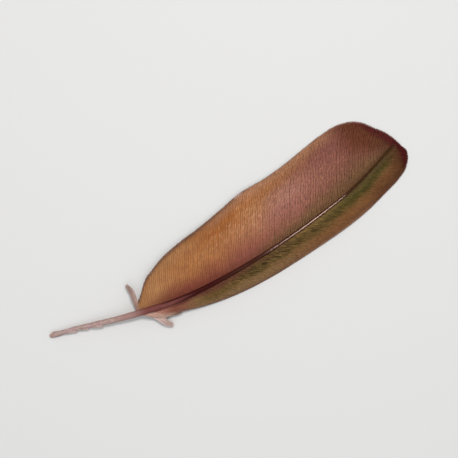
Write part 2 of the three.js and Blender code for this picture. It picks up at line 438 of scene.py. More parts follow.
def slow_waves(random, station, share, height):
    """A gentle unevenness of a whole vane, as a height at each point."""
    total = np.zeros(np.broadcast(station, share).shape)
    for length in WAVE_LENGTHS:
        phase, along = random.uniform(0, 2 * math.pi, 2)
        slant = random.uniform(0.6, 1.6)
        wave = np.sin(2 * math.pi * station / length + phase) * np.cos(slant * math.pi * share + along)
        total = total + wave * length / WAVE_LENGTHS[0]
    return total * height * ramp(share, 0.0, 0.3)


def wander(random, barbs, share, size):
    """A slow random wave along each barb, none at its root."""
    waves = random.uniform(0.5, 1.7, (barbs, 1))
    phase = random.uniform(0, 2 * math.pi, (barbs, 1))
    height = random.normal(0, size, (barbs, 1))
    return height * np.sin(2 * math.pi * share * waves + phase) * ramp(share, 0, 0.25)


def lock_numbers(random, count):
    """Barbs cling together in locks of 2 to 7: the number of each barb's lock."""
    sizes = random.integers(2, 8, count)
    return np.repeat(np.arange(count), sizes)[:count]


def make_vane(name, table, material, seed, side, count, steps):
    """Barbs side by side, as many as count, along the stretch of shaft that the table spans.

    side is 1 towards +Y and -1 towards -Y, and steps is the number of a barb's rings before
    those of its tip. The material reads these attributes:
    place: station, distance from the barb's root, share of the barb's length
    kind: tint, 1 on the underside, distance from the barb's tip
    section: place across the barb, as in BARB_SECTION
    """
    random = np.random.default_rng(seed)
    surface = vane_surface(table, side)
    first, last = table[0][0], table[-1][0]
    gap = (last - first) / count
    station = first + gap * (np.arange(count)[:, None] + 0.5)
    station = station + random.uniform(-STRAY, STRAY, station.shape) * gap
    lock = lock_numbers(random, count)
    lock_lift = random.normal(0, 1, count)[lock][:, None]
    lock_reach = random.uniform(0, 1, count)[lock][:, None]
    lock_tint = random.uniform(0, 1, count)[lock][:, None]
    tint = OWN_TINT * random.uniform(0, 1, (count, 1)) + (1 - OWN_TINT) * lock_tint

    root = surface(station, 0.0)
    length = np.linalg.norm(surface(station, 1.0) - root, axis=-1)
    short = RAGGED * (lock_reach**3 + random.uniform(0, 1, (count, 1)) ** 2)
    reach = 1 - short / length
    ends = reach - np.array(TIP_RINGS)[None, :] / length
    body = np.linspace(-ROOT_REACH, 1.0, steps)[None, :] * (ends[:, :1] - RING_GAP)
    share = np.concatenate([body, ends], axis=1)
    from_tip = (reach - share) * length

    centre = surface(station, share)
    along = unit(surface(station, share + 0.01) - surface(station, share - 0.01))
    pitch = surface(station + gap / 2, share) - surface(station - gap / 2, share)
    pitch = pitch - along * np.sum(pitch * along, axis=-1, keepdims=True)
    half_gap = np.linalg.norm(pitch, axis=-1) / 2
    up = unit(np.cross(along, pitch) * -side)
    across = np.cross(up, along)

    middle = np.array([station[lock == number].mean() for number in lock])[:, None]
    pull = LOCK_PULL * ramp(share, 0.5, 1.0) * (station - middle) / gap * side
    sway = wander(random, count, share, BARB_SWAY) + pull
    lift = wander(random, count, share, BARB_LIFT) + LOCK_LIFT * lock_lift * ramp(share, 0.1, 0.8)
    centre = centre + across * (sway * half_gap)[..., None] + up * (lift * half_gap)[..., None]
    curl = TIP_CURL * np.clip(1 - from_tip / CURL_REACH, 0, 1) ** 2
    centre[..., 0] += curl * ramp(station, *CURL_FADE)
    centre[..., 2] += slow_waves(random, station, share, UNEVEN)
    centre[..., 2] -= ROOT_SINK * np.exp(-((share * length / SINK_REACH) ** 2))

    taper = TIP_WIDTH + (1 - TIP_WIDTH) * np.clip(from_tip / EDGE_TAPER, 0, 1) ** 0.5
    width, height, under = np.array(BARB_SECTION).T
    size = (half_gap * taper)[..., None, None]
    rings = centre[:, :, None] + size * (
        across[:, :, None] * width[:, None] + up[:, :, None] * height[:, None]
    )
    rings[..., 2] = np.maximum(rings[..., 2], LOWEST)
    beside = station[..., None] - side * gap / 2 * taper[..., None] * width
    place = vector_of(beside, (share * length)[..., None], share[..., None])
    kind = vector_of(tint[..., None], under, from_tip[..., None])
    section = vector_of(width, 0.0, 0.0)
    return make_piece(name, rings, "vane", material, place=place, kind=kind, section=section)


# ---- down and sheath -------------------------------------------------------------------

TUFT_RINGS = 26
FIBRE_SIDES = 6
FIBRE_LENGTHS = (0.86, 1.0)  # shares of the tuft's path
FIBRE_RADII = (0.7, 1.3)  # shares of the tuft's fibre radius
FIBRE_TAPER = 0.8  # how much thinner a fibre is at its tip, as a share
FIBRE_SPREAD = 1.3  # area over which fibres lie, as a share of the path's round section
FIBRE_TWIST = 0.7  # radians that a fibre turns round the path, as a standard deviation
FIBRE_WAVES = (4, 11)  # radians that a fibre's waves run through
WAVE_SIDEWAYS = 0.07
WAVE_UPWARDS = 0.04


def tube_rings(paths, radii):
    """Rings of round fibres, from paths [fibre, ring, xyz] and radii [fibre, ring]."""
    along = unit(np.gradient(paths, axis=1))
    across = unit(np.cross(np.array([0.0, 0.3, 1.0]), along))
    up = np.cross(along, across)
    angle = 2 * math.pi * np.arange(FIBRE_SIDES) / FIBRE_SIDES
    offset = across[:, :, None] * np.cos(angle)[:, None] + up[:, :, None] * np.sin(angle)[:, None]
    return paths[:, :, None] + offset * radii[:, :, None, None]


def make_tuft(name, table, material, seed, fibres, fibre_radius):
    """A clump of downy barbs that cling together along a path of round sections.

    The material reads place: distance along the path, nothing, tint.
    """
    random = np.random.default_rng(seed)
    steps = np.linalg.norm(np.diff([row[:3] for row in table], axis=0), axis=1)
    distance = np.concatenate([[0], np.cumsum(steps)])
    x, y, z, radius = columns([(d, *row) for d, row in zip(distance, table)])
    share = np.linspace(0, 1, TUFT_RINGS)[None, :]
    at = distance[-1] * share * random.uniform(*FIBRE_LENGTHS, (fibres, 1))
    spread = np.sqrt(random.uniform(0, FIBRE_SPREAD, (fibres, 1)))
    turn = random.uniform(0, 2 * math.pi, (fibres, 1))
    turn = turn + random.normal(0, FIBRE_TWIST, (fibres, 1)) * share
    wave = share * random.uniform(*FIBRE_WAVES, (fibres, 1))
    wave = np.sin(wave + random.uniform(0, 6, (fibres, 1))) * ramp(share, 0, 0.4)
    centre = vector_of(x(at), y(at), z(at))
    along = unit(np.gradient(centre, axis=1))
    across = unit(np.cross(np.array([0.0, 0.0, 1.0]), along))
    up = np.cross(along, across)
    out = (radius(at) * spread)[..., None]
    paths = centre + (across * np.cos(turn)[..., None] + up * np.sin(turn)[..., None]) * out
    paths = paths + (across * WAVE_SIDEWAYS + up * WAVE_UPWARDS) * wave[..., None]
    radii = fibre_radius * random.uniform(*FIBRE_RADII, (fibres, 1)) * (1 - FIBRE_TAPER * share**3)
    rings = tube_rings(paths, radii)
    rings[..., 2] = np.maximum(rings[..., 2], LOWEST)
    tint = random.uniform(0, 1, (fibres, 1, 1))
    place = vector_of(at[..., None], 0.0, tint)
    return make_piece(name, rings, "down", material, place=place)


FLAKES = 24
FLAKE_RINGS = 9
FLAKE_ACROSS = 5
FLAKE_THICKNESS = 0.04
FLAKE_GAP = 0.02  # how far every flake stands off, besides the share of its width
FLAKE_LIFT = 0.15  # how far the small flakes stand off, as a share of their width
SCRAP_LIFT = 0.7  # the same for the large scraps
SCRAP_SINK = 0.1  # how far the large scraps reach into the quill
FLAKE_TURN = 1.3  # how far round the quill a flake reaches each way, as a share of its width
TORN_EDGE = 0.3  # how far its edges are torn in and out, as a share
TEARS = (5, 12)  # radians that those tears run through on half its length
SCRAP_TINT = 0.8  # how pale the large scraps are, from 0 to 1

# Where the small flakes lie, from and to: station, length, width, degrees round the quill.
FLAKE_RANGES = [
    (1.0, 21.0),
    (0.5, 2.0),
    (0.08, 0.25),
    (30, 235),
]


def make_scraps(material, seed):
    """Dry flakes of growth sheath: the large scraps, and small ones scattered round them.

    The material reads place: station, place along the flake from -1 to 1, tint.
    """
    random = np.random.default_rng(seed)
    # The last column is 1 for the large scraps, which are solid wads, and 0 for thin flakes.
    large = [(*scrap, 1) for scrap in SHEATH_SCRAPS]
    small = zip(*(random.uniform(*limits, FLAKES) for limits in FLAKE_RANGES), [0] * FLAKES)
    flakes = np.array([*large, *small])
    middle, length, width, degrees, thick = (column[:, None, None] for column in flakes.T)
    thin = 1 - thick
    along = np.linspace(-1, 1, FLAKE_RINGS)[None, :, None]
    across = np.linspace(-1, 1, FLAKE_ACROSS)[None, None, :]
    station = middle + along * length / 2
    half = shaft_half_width(middle)
    turn = np.degrees(width * FLAKE_TURN / half)
    tears = along * random.uniform(*TEARS, middle.shape)
    ragged = 1 + TORN_EDGE * np.sin(tears + random.uniform(0, 6, middle.shape))
    narrow = np.sqrt(np.maximum(1 - along**2, 0.03)) * ragged
    angle = degrees + across * turn * narrow
    loose_end = np.where(thick, 1, random.choice([-1, 1], middle.shape))
    stand = FLAKE_LIFT + (SCRAP_LIFT - FLAKE_LIFT) * thick
    lift = FLAKE_GAP + stand * width * (0.4 + 0.3 * (along * loose_end + 1))
    lift = lift * np.where(thick, 1 - 0.4 * across**2, 0.35 + 0.65 * across**2)
    top = shaft_skin(station, angle, 1 + (lift + FLAKE_THICKNESS) / half)
    bottom = shaft_skin(station, angle, 1 + (lift * thin - SCRAP_SINK * thick) / half)
    rings = np.concatenate([top[:, :, ::-1], bottom], axis=2)
    rings[..., 2] = np.maximum(rings[..., 2], LOWEST)
    tint = random.uniform(0, 1, middle.shape) * thin + SCRAP_TINT * thick
    place = vector_of(station, along, tint)
    return make_piece("sheath_scraps", rings, "sheath", material, place=place)


# ---- materials -------------------------------------------------------------------------


def srgb(red, green, blue):
    """A colour as it shows on a screen, 0 to 255, as the linear colour that a shader takes."""
    shown = np.array([red, green, blue]) / 255
    linear = np.where(shown <= 0.04045, shown / 12.92, ((shown + 0.055) / 1.055) ** 2.4)
    return (*linear.tolist(), 1.0)


class Shade:
    """Adds nodes to one material's tree. A method returns the socket that holds its answer."""

    def __init__(self, name):
        self.material = bpy.data.materials.new(name)
        self.material.use_nodes = True
        self.tree = self.material.node_tree
        self.surface = self.tree.nodes["Principled BSDF"]

    def put(self, socket, value):
        """Links a socket to another, or sets it to a number or a colour."""
        if isinstance(value, bpy.types.NodeSocket):
            self.tree.links.new(value, socket)
        else:
            socket.default_value = value

    def attribute(self, name):
        """The three parts of a vector attribute."""
        node = self.tree.nodes.new("ShaderNodeAttribute")
        node.attribute_name = name
        return self.split(node.outputs["Vector"])

    def split(self, vector):
        node = self.tree.nodes.new("ShaderNodeSeparateXYZ")
        self.put(node.inputs[0], vector)
        return node.outputs

    def join(self, x, y, z=0.0):
        node = self.tree.nodes.new("ShaderNodeCombineXYZ")
        for socket, value in zip(node.inputs, (x, y, z)):
            self.put(socket, value)
        return node.outputs[0]

    def math(self, operation, a, b=0.0):
        node = self.tree.nodes.new("ShaderNodeMath")
        node.operation = operation
        self.put(node.inputs[0], a)
        self.put(node.inputs[1], b)
        return node.outputs[0]

    def sum(self, *terms):
        """The sum of (socket, weight) pairs, sockets and plain numbers."""
        total = 0.0
        for term in terms:
            if isinstance(term, tuple):
                term = self.math("MULTIPLY", *term)
            total = self.math("ADD", term, total)
        return total

    def both(self, *factors):
        """The product of the factors."""
        answer = factors[0]
        for factor in factors[1:]:
            answer = self.math("MULTIPLY", answer, factor)
        return answer

    def line(self, x, *points):
        """A value that goes straight between points of (x, value)."""
        (x0, v0), *rest = points
        answer = v0
        for x1, v1 in rest:
            node = self.tree.nodes.new("ShaderNodeMapRange")
            self.put(node.inputs["Value"], x)
            node.inputs["From Min"].default_value = x0
            node.inputs["From Max"].default_value = x1
            node.inputs["To Max"].default_value = v1 - v0
            answer = self.math("ADD", node.outputs[0], answer)
            x0, v0 = x1, v1
        return answer

    def ramp(self, value, low, high):
        """0 below low and 1 above high, smooth between; low above high turns it round."""
        node = self.tree.nodes.new("ShaderNodeMapRange")
        node.interpolation_type = "SMOOTHSTEP"
        self.put(node.inputs["Value"], value)
        self.put(node.inputs["From Min"], low)
        self.put(node.inputs["From Max"], high)
        return node.outputs[0]

    def near(self, value, middle, width):
        """1 where value is at middle, 0 where it is width or more away."""
        away = self.math("ABSOLUTE", self.math("SUBTRACT", value, middle))
        return self.ramp(away, width, 0.0)

    def mix(self, factor, a, b):
        node = self.tree.nodes.new("ShaderNodeMix")
        node.data_type = "RGBA"
        self.put(node.inputs[0], factor)
        self.put(node.inputs[6], a)  # 6 and 7 are the node's sockets A and B for colours
        self.put(node.inputs[7], b)
        return node.outputs[2]

    def paint(self, under, over, *factors):
        """One colour over another, where all the factors are high."""
        return self.mix(self.both(*factors), under, over)

    def brighten(self, colour, value):
        node = self.tree.nodes.new("ShaderNodeHueSaturation")
        self.put(node.inputs["Value"], value)
        self.put(node.inputs["Color"], colour)
        return node.outputs[0]

    def noise(self, vector, detail=2.0):
        node = self.tree.nodes.new("ShaderNodeTexNoise")
        self.put(node.inputs["Vector"], vector)
        node.inputs["Scale"].default_value = 1.0
        node.inputs["Detail"].default_value = detail
        return node.outputs["Fac"]

    def clouds(self, *directions, detail=2.0):
        """Soft noise over directions that are (socket, scale) pairs."""
        return self.noise(self.join(*(self.both(*pair) for pair in directions)), detail)

    def streaks(self, along, across, length, width, slant=0.0):
        """Noise drawn out along a direction that turns by slant degrees from the first one.

        The slant also moves it to another part of the noise, so that two slants don't match.
        """
        turn = math.radians(slant)
        first = self.sum((along, math.cos(turn) / length), (across, math.sin(turn) / length))
        second = self.sum((along, -math.sin(turn) / width), (across, math.cos(turn) / width))
        return self.noise(self.join(first, second, slant))

    def bump(self, height, distance, strength):
        node = self.tree.nodes.new("ShaderNodeBump")
        self.put(node.inputs["Height"], height)
        node.inputs["Distance"].default_value = distance
        node.inputs["Strength"].default_value = strength
        self.put(self.surface.inputs["Normal"], node.outputs[0])

    def finish(self, colour, roughness, specular, metallic=0.0, tint=(1.0, 1.0, 1.0)):
        self.put(self.surface.inputs["Base Color"], colour)
        self.put(self.surface.inputs["Roughness"], roughness)
        self.put(self.surface.inputs["Specular IOR Level"], specular)
        self.surface.inputs["Specular Tint"].default_value = (*tint, 1.0)
        self.surface.inputs["Metallic"].default_value = metallic
        return self.material


def station_mm(shade):
    """The socket of a point's own station, in millimetres."""
    node = shade.tree.nodes.new("ShaderNodeTexCoord")
    x, _, _ = shade.split(node.outputs["Object"])
    return shade.sum((x, 1 / MM), LENGTH / 2)


COPPER = srgb(148, 96, 56)
ORANGE = srgb(148, 88, 42)
GOLD = srgb(148, 103, 66)
PEACH = srgb(158, 111, 71)
PINK = srgb(150, 106, 94)
RUSSET = srgb(112, 57, 43)
ROSE = srgb(126, 80, 72)
MAUVE = srgb(112, 66, 60)
KHAKI = srgb(102, 73, 48)
RUST = srgb(84, 41, 24)
TIP_BROWN = srgb(74, 43, 23)
MAROON = srgb(68, 16, 15)
LILAC_RIM = srgb(150, 120, 114)
DUSTY_RIM = srgb(108, 77, 60)
SANDY_RIM = srgb(152, 110, 84)
SANDY_EDGE = srgb(160, 113, 84)
# a painted glint, lighter than any colour of the barbs
PAINTED_GLINT = srgb(236, 196, 150)
FLECK = srgb(222, 184, 174)
SALMON = srgb(136, 82, 65)
FOOT_PINK = srgb(168, 114, 98)
COPPER_EDGE = srgb(112, 74, 50)
CREAM = srgb(222, 190, 172)
OLIVE = srgb(104, 79, 42)
GREEN = srgb(66, 60, 20)
DARK_OLIVE = srgb(46, 36, 15)
TAN = srgb(132, 102, 66)
BRONZE = srgb(126, 84, 50)
UNDERSIDE = srgb(122, 104, 92)
WARM_GLOSS = (1.0, 0.74, 0.64)  # the tint of the feather's reflections


def barb_finish(shade, colour, glints, depth, dusty):
    """The last of a vane's material: tints of barbs and locks, painted glints, painted shade between the
    barbs, rim and underside.

    glints and dusty say how strong the painted glints and the vane's rim are, and depth how strong the
    fine pattern of the barbules and the painted shade between the barbs are.
    """
    station, distance, _ = shade.attribute("place")
    tint, under, from_tip = shade.attribute("kind")
    off_ridge, _, _ = shade.attribute("section")
    rim = shade.line(station, (33, 1.2), (42, 0.6))
    wide_rim = shade.mix(shade.ramp(station, 60, 72), DUSTY_RIM, SANDY_RIM)
    colour = shade.paint(colour, wide_rim, shade.ramp(from_tip, 2.3, 0.7), dusty)
    thin_rim = shade.line(station, (106, 0.75), (114, 0.4), (124, 0.25))
    colour = shade.paint(colour, LILAC_RIM, shade.ramp(from_tip, rim, 0.1), thin_rim)
    cloud = shade.clouds((station, 0.35), (distance, 0.3))
    streak = shade.streaks(distance, station, length=3.0, width=0.5)
    fleck = shade.streaks(distance, station, length=1.3, width=0.36, slant=8.0)
    barbules = shade.streaks(distance, station, length=0.8, width=0.4, slant=42.0)
    counter = shade.streaks(distance, station, length=0.8, width=0.4, slant=-38.0)
    # Painted shade between the barbs: each barb darkens towards its edges, where the next barb's sheet
    # meets it.
    painted_groove_shade = shade.ramp(shade.math("ABSOLUTE", off_ridge), 0.3, 1.0)
    mottle = shade.sum((fleck, 0.5), (barbules, 0.34), (counter, 0.3), (painted_groove_shade, -0.15), -0.5)
    brightness = shade.sum((tint, 0.1), (cloud, 0.3), (streak, 0.14), (mottle, depth), 0.68)
    colour = shade.brighten(colour, brightness)
    # Painted glints: pale streaks painted into the colour where the barbules would catch the light.
    glint_streaks = shade.streaks(distance, station, length=2.4, width=0.28, slant=12.0)
    colour = shade.paint(colour, PAINTED_GLINT, shade.ramp(glint_streaks, 0.54, 0.7), glints)
    colour = shade.mix(under, colour, shade.mix(0.7, colour, UNDERSIDE))
    shade.bump(shade.sum(barbules, counter, fleck), distance=0.03 * MM, strength=0.35)
    return shade.finish(colour, roughness=0.46, specular=0.14, metallic=0.25, tint=WARM_GLOSS)


def inner_vane_material():
    """Copper and peach at the foot, orange and gold beyond it, rose to mauve past the middle.

    x is a point's own station, and station is that of its barb's root.
    """
    shade = Shade("inner_vane")
    x = station_mm(shade)
    station, distance, share = shade.attribute("place")
    _, _, from_tip = shade.attribute("kind")
    blotch = shade.clouds((station, 0.14), (distance, 0.14))
    share = shade.sum(share, (blotch, 0.24), -0.12)

    # The ground: copper, with orange, peach and gold patches, russet along the rachis. The gold patch in
    # the middle is partly a painted sheen.
    orange = shade.both(shade.ramp(x, 50, 64), shade.ramp(share, 0.45, 0.75), shade.ramp(x, 96, 72))
    colour = shade.paint(COPPER, ORANGE, orange)
    warm = shade.clouds((station, 0.25), (distance, 0.5))
    colour = shade.paint(colour, RUSSET, shade.ramp(warm, 0.5, 0.68), 0.25)
    colour = shade.paint(colour, PEACH, shade.ramp(x, 50, 36))
    colour = shade.paint(colour, PEACH, shade.near(x, 45, 17), shade.near(share, 0.82, 0.24))
    # Gold in the vane's middle: partly its own colour, partly a painted sheen where it faces the light.
    colour = shade.paint(colour, GOLD, shade.near(x, 80, 16), shade.near(share, 0.52, 0.45), 0.75)
    colour = shade.paint(colour, RUSSET, shade.ramp(share, 0.42, 0.02), shade.ramp(x, 29, 42))
    # The sheen: rose that widens towards the tip, pink and mauve in it, khaki beside it.
    blush = shade.ramp(share, 0.36, 0.08)
    colour = shade.paint(colour, ROSE, blush, shade.near(x, 70, 15), 0.25)
    rose_line = shade.line(x, (60, 0.2), (80, 0.36), (100, 0.5), (112, 0.75))
    rose_width = shade.line(x, (60, 0.25), (80, 0.5), (100, 0.6))
    rose = shade.near(share, rose_line, rose_width)
    colour = shade.paint(colour, ROSE, rose, shade.ramp(x, 66, 90))
    colour = shade.paint(colour, PINK, shade.near(x, 89, 10), shade.near(share, 0.5, 0.26), 0.6)
    colour = shade.paint(colour, MAUVE, shade.ramp(x, 89, 109), shade.ramp(share, 1.2, 0.6))
    khaki_reach = shade.line(x, (66, 0.02), (82, 0.28), (100, 0.42), (120, 0.75))
    khaki = shade.ramp(share, khaki_reach, shade.both(khaki_reach, 0.1))
    colour = shade.paint(colour, KHAKI, khaki, shade.ramp(x, 64, 86))
    dull = shade.line(x, (60, 0.0), (69, 0.35), (76, 0.25), (92, 0.65), (104, 0.5), (112, 0.0))
    colour = shade.paint(colour, MAUVE, shade.near(share, 0.36, 0.34), dull)
    # The sandy edge, and the dark tip with its maroon rim.
    sandy = shade.line(x, (56, 0.0), (66, 0.9), (98, 0.9), (108, 0.6), (113, 0.0))
    colour = shade.paint(colour, SANDY_EDGE, shade.ramp(from_tip, 6.5, 1.2), sandy)
    colour = shade.paint(colour, RUST, shade.ramp(x, 107, 117), shade.ramp(share, 0.25, 0.65))
    brown = shade.line(x, (84, 0.0), (106, 0.16), (119, 0.18), (126, 1.0))
    colour = shade.paint(colour, TIP_BROWN, brown)
    maroon_reach = shade.line(x, (116, 0.0), (122, 2.4), (128, 3.6))
    maroon = shade.ramp(shade.math("SUBTRACT", from_tip, maroon_reach), 1.4, -1.8)
    colour = shade.paint(colour, MAROON, maroon, shade.ramp(x, 117, 121))

    # Fine gold and khaki specks in the sheen, and pale tips that turn up halfway along.
    specks = shade.ramp(shade.streaks(distance, station, length=1.1, width=0.32, slant=25.0), 0.52, 0.64)
    rosy = shade.both(shade.near(x, 98, 20), shade.near(share, 0.45, 0.4))
    colour = shade.paint(colour, GOLD, specks, rosy, 0.6)
    dots = shade.ramp(shade.streaks(distance, station, length=0.9, width=0.36, slant=-20.0), 0.53, 0.62)
    colour = shade.paint(colour, KHAKI, dots, rosy, 0.6)
    turned_tips = shade.both(shade.near(x, 74.5, 2.4), shade.ramp(from_tip, 1.5, 0.4))
    colour = shade.mix(turned_tips, colour, FLECK)
    # How strong the painted glints are across the inner vane.
    glints = shade.both(shade.near(x, 73, 34), shade.near(share, 0.6, 0.4), 0.32)
    depth = shade.line(x, (34, 0.9), (48, 1.4), (66, 1.3), (80, 2.6), (92, 3.3), (122, 3.1))
    dusty = shade.line(station, (33, 0.95), (50, 0.9), (64, 0.5), (72, 0.7), (92, 0.6), (102, 0.0))
    return barb_finish(shade, colour, glints, depth, dusty)


def outer_vane_material():
    """Pink and salmon at the foot, then tan with olive and dark green towards the rachis.

    x is a point's own station, and station is that of its barb's root.
    """
    shade = Shade("outer_vane")
    x = station_mm(shade)
    station, distance, share = shade.attribute("place")
    _, _, from_tip = shade.attribute("kind")
    cream = shade.ramp(shade.sum(station, (share, -4.0)), 34.5, 30.5)
    blotch = shade.clouds((station, 0.18), (distance, 0.18))
    share = shade.sum(share, (blotch, 0.3), -0.15)

    colour = shade.paint(TAN, BRONZE, shade.ramp(x, 66, 96))
    olive_reach = shade.line(x, (44, 0.6), (54, 0.85), (66, 0.6), (80, 0.7), (100, 0.65), (122, 0.6))
    olive = shade.ramp(share, olive_reach, shade.both(olive_reach, 0.4))
    colour = shade.paint(colour, OLIVE, olive, shade.ramp(x, 44, 54))
    first_greens = [(56, 0.0), (62, 0.2), (69, 0.8), (78, 0.4)]
    later_greens = [(86, 0.25), (94, 0.45), (108, 1.0), (122, 0.9)]
    green_patches = shade.line(x, *first_greens, *later_greens)
    colour = shade.paint(colour, GREEN, shade.near(share, 0.2, 0.29), green_patches)
    # Pale and dark dashes along the barbs.
    dashes = shade.streaks(distance, station, length=3.0, width=0.42)
    pale_patches = shade.line(x, (52, 0.0), (60, 0.7), (68, 0.55), (86, 0.5), (98, 0.2), (106, 0.0))
    pale = shade.both(shade.ramp(dashes, 0.48, 0.4), shade.near(share, 0.32, 0.36))
    colour = shade.paint(colour, TAN, pale, pale_patches)
    dark = shade.ramp(dashes, 0.47, 0.56)
    dark_patches = shade.line(x, (56, 0.0), (61, 0.4), (68, 1.0), (80, 1.0), (100, 0.5), (122, 0.5))
    colour = shade.paint(colour, DARK_OLIVE, dark, shade.near(share, 0.22, 0.3), dark_patches)
    # The copper edge, the pink foot and the dark side along the rachis, which is partly painted shade.
    copper = shade.line(x, (40, 1.0), (66, 0.5), (100, 0.5), (112, 0.9))
    colour = shade.paint(colour, COPPER_EDGE, shade.ramp(share, 0.66, 0.86), copper)
    colour = shade.paint(colour, SALMON, shade.ramp(x, 50, 40), shade.ramp(share, 1.1, 0.6))
    colour = shade.paint(colour, FOOT_PINK, shade.ramp(x, 41, 35))
    dusky = shade.both(shade.ramp(share, 0.3, 0.05), shade.ramp(x, 90, 46), shade.ramp(x, 37, 44))
    colour = shade.paint(colour, RACHIS_PLUM, dusky, 0.8)
    colour = shade.paint(colour, RACHIS_MAUVE, shade.ramp(distance, 1.1, 0.3), shade.ramp(x, 42, 36))
    # Dark beside the rachis: partly its darker pigment, partly painted shade where the barbs meet it.
    edge_shade = shade.both(shade.ramp(distance, 0.65, 0.15), shade.ramp(x, 42, 50), shade.ramp(x, 86, 74))
    colour = shade.paint(colour, RACHIS_EDGE_AND_SHADE, edge_shade, 0.7)
    colour = shade.paint(colour, DARK_OLIVE, shade.ramp(distance, 2.4, 0.8), shade.ramp(x, 98, 110), 0.68)
    # The creamy first barbs, and the brown tip with its maroon rim.
    tufty = shade.ramp(shade.streaks(distance, station, length=3.0, width=0.35), 0.42, 0.6)
    colour = shade.paint(colour, CREAM, cream, shade.sum((tufty, 0.6), 0.35))
    colour = shade.paint(colour, TIP_BROWN, shade.ramp(x, 108, 118), shade.ramp(share, 0.25, 0.55), 0.5)
    colour = shade.paint(colour, TIP_BROWN, shade.ramp(x, 119, 129))
    maroon_reach = shade.line(x, (122, 0.0), (129, 3.8))
    maroon = shade.ramp(shade.math("SUBTRACT", from_tip, maroon_reach), 1.8, -1.6)
    colour = shade.paint(colour, MAROON, maroon, shade.ramp(x, 125.3, 128.3))
    # How strong the painted glints are across the outer vane.
    glints = shade.both(shade.near(x, 80, 30), shade.near(share, 0.6, 0.4), 0.15)
    depth = shade.line(x, (40, 1.5), (56, 3.8), (90, 3.8), (106, 3.0), (122, 2.6))
    dusty = shade.line(station, (33.5, 0.0), (40, 0.8), (50, 0.9), (64, 0.5), (92, 0.6), (102, 0.0))
    return barb_finish(shade, colour, glints, depth, dusty)


QUILL = srgb(178, 153, 145)
QUILL_PATCH = srgb(162, 133, 127)
QUILL_LILAC = srgb(176, 145, 151)
QUILL_TIP = srgb(160, 128, 112)
QUILL_TAN = srgb(157, 124, 117)
QUILL_GREY = srgb(160, 146, 134)
QUILL_SIDE_SHADE = srgb(132, 104, 98)
RACHIS_MAUVE = srgb(114, 64, 60)
RACHIS_PLUM = srgb(88, 40, 38)
RACHIS_MAROON = srgb(58, 14, 12)
RACHIS_BROWN = srgb(66, 36, 25)
RACHIS_TIP = srgb(66, 41, 21)
RACHIS_EDGE_AND_SHADE = srgb(52, 12, 14)
RACHIS_BELLY = srgb(140, 112, 96)
DOWN_ROOT = srgb(150, 108, 84)
DUSKY_DOWN = srgb(112, 84, 70)
DULL_DOWN = srgb(168, 139, 128)
SOFT_DOWN = srgb(200, 172, 162)
PALE_DOWN = srgb(238, 214, 205)
SHEATH_DULL = srgb(166, 141, 134)
SHEATH_PALE = srgb(196, 170, 163)


def shaft_material():
    """A pinkish quill that darkens to maroon and brown along the rachis, glossy in its middle; painted
    shade darkens the quill's sides and partly the rachis's edges.
    """
    shade = Shade("shaft")
    station, across, up = shade.attribute("place")
    mottle = shade.clouds((station, 0.9), (across, 1.4), (up, 1.0), detail=4.0)
    patches = shade.clouds((station, 0.5), (across, 0.6), (up, 1.0))
    grain = shade.streaks(station, across, length=2.5, width=0.3)
    colour = shade.mix(shade.ramp(mottle, 0.35, 0.65), QUILL_PATCH, QUILL)
    lilac_places = shade.sum(shade.near(station, 7, 4), shade.near(station, 14, 4))
    colour = shade.paint(colour, QUILL_LILAC, lilac_places, shade.ramp(patches, 0.4, 0.6))
    colour = shade.paint(colour, QUILL_TIP, shade.ramp(station, 1.6, 0.2), 0.7)
    grey_places = shade.sum(shade.near(station, 3.8, 1.6), shade.near(station, 9.9, 1.5))
    colour = shade.paint(colour, QUILL_GREY, grey_places, shade.ramp(patches, 0.6, 0.4), 0.8)
    # Painted shade: the quill is darker towards its sides, as if lit from above.
    side = shade.ramp(shade.math("ABSOLUTE", across), 0.45, 1.0)
    colour = shade.paint(colour, QUILL_SIDE_SHADE, side, 0.45)
    colour = shade.mix(shade.ramp(station, 19, 26), colour, QUILL_TAN)
    colour = shade.mix(shade.ramp(station, 26, 32.5), colour, RACHIS_MAUVE)
    colour = shade.mix(shade.ramp(station, 38, 50), colour, RACHIS_MAROON)
    colour = shade.mix(shade.ramp(station, 54, 66), colour, RACHIS_BROWN)
    colour = shade.paint(colour, RACHIS_TIP, shade.ramp(station, 104, 110))
    before_tip = shade.ramp(station, 112, 104)
    # Dark lines along the rachis's sides: partly its darker pigment, partly painted shade where the barbs
    # meet it.
    dark_line = shade.both(shade.ramp(across, 0.3, 0.65), shade.ramp(station, 31, 42), before_tip)
    colour = shade.paint(colour, RACHIS_EDGE_AND_SHADE, dark_line, 0.85)
    outer_line = shade.both(shade.ramp(across, -0.45, -0.8), shade.ramp(station, 38, 46))
    colour = shade.paint(colour, RACHIS_EDGE_AND_SHADE, outer_line, before_tip)
    grained = shade.brighten(colour, shade.sum((grain, 1.2), 0.4))
    colour = shade.mix(shade.ramp(station, 28, 34), colour, grained)
    colour = shade.paint(colour, RACHIS_BELLY, shade.ramp(up, -0.2, -0.6), shade.ramp(station, 28, 40))
    start, full, fade, end = GLOSSY
    dull_quill = [(24, 0.5), (40, 0.55)]
    glossy_stretch = [(start, 0.6), (full, 0.18), (86.0, 0.2), (93.0, 0.15), (fade, 0.15), (end, 0.65)]
    roughness = shade.line(station, *dull_quill, *glossy_stretch)
    shine = shade.line(station, (30, 0.2), (48, 0.1), (start, 0.1), (full, 0.2), (fade, 0.2), (end, 0.08))
    bare_quill = shade.ramp(station, 32, 22)
    shade.bump(shade.both(mottle, bare_quill), distance=0.05 * MM, strength=0.7)
    return shade.finish(colour, roughness, specular=shine, tint=WARM_GLOSS)


